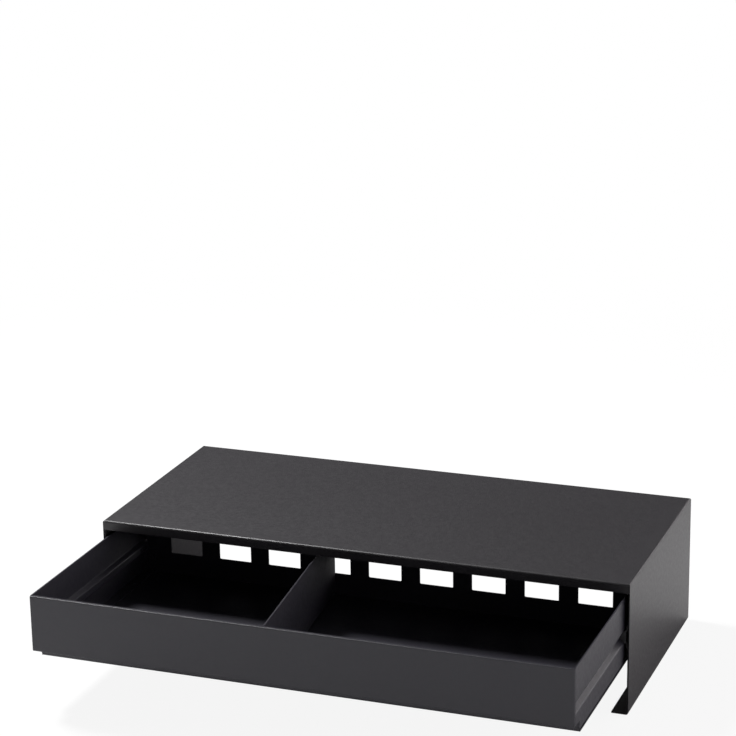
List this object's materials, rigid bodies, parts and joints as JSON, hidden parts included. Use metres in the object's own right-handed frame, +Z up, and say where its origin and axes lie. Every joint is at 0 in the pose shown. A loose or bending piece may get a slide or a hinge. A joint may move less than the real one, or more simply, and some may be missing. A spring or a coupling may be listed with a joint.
{
  "type": "monitor stand with drawer",
  "caption": "Folded sheet-steel monitor stand on two side walls, with a shallow drawer on captured guide rails, cable slots in its back wall and a loose magnetic divider.",
  "frame": {"origin": "on the desk, under the middle of the whole part with its drawer drawn out as modelled", "axes": "+X to the user's right along the longest side, +Y from the drawer front to the back, +Z up"},
  "size_m": [0.5, 0.38, 0.123],
  "materials": {
    "casing_coat": "fine-textured matte anthracite powder coat",
    "drawer_coat": "fine-textured matte anthracite powder coat",
    "zinc_steel": "bright zinc plating",
    "glide_plastic": "moulded black acetal",
    "rubber": "matte black rubber",
    "magnet_rubber": "flexible magnetic strip"
  },
  "bodies": {
    "casing": {"casing_shell": "casing_coat", "foot_pad_front_left": "rubber", "foot_pad_rear_left": "rubber", "foot_pad_front_right": "rubber", "foot_pad_rear_right": "rubber", "guide_rail_left": "casing_coat", "guide_rail_right": "casing_coat", "front_glide_left": "glide_plastic", "front_glide_right": "glide_plastic"},
    "drawer": {"drawer_tray": "drawer_coat", "drawer_front_panel": "drawer_coat", "drawer_side_left": "drawer_coat", "drawer_side_right": "drawer_coat", "rear_glide_left": "glide_plastic", "rear_glide_right": "glide_plastic", "front_nut_lower_left": "zinc_steel", "front_nut_upper_left": "zinc_steel", "front_nut_lower_right": "zinc_steel", "front_nut_upper_right": "zinc_steel", "back_rivet_lower_left": "drawer_coat", "back_rivet_upper_left": "drawer_coat", "back_rivet_lower_right": "drawer_coat", "back_rivet_upper_right": "drawer_coat", "floor_rivet_1_left": "drawer_coat", "floor_rivet_2_left": "drawer_coat", "floor_rivet_3_left": "drawer_coat", "floor_rivet_1_right": "drawer_coat", "floor_rivet_2_right": "drawer_coat", "floor_rivet_3_right": "drawer_coat"},
    "loose_divider": {"divider": "drawer_coat", "divider_magnet": "magnet_rubber"}
  },
  "joints": [
    {"name": "drawer_slide", "type": "slide", "parent": "casing", "child": "drawer", "axis": [0, -1, 0], "range_m": [-0.151, 0.0074]},
    {"name": "divider_slide", "type": "slide", "parent": "drawer", "child": "loose_divider", "axis": [1, 0, 0], "range_m": [-0.16, 0.255]}
  ]
}
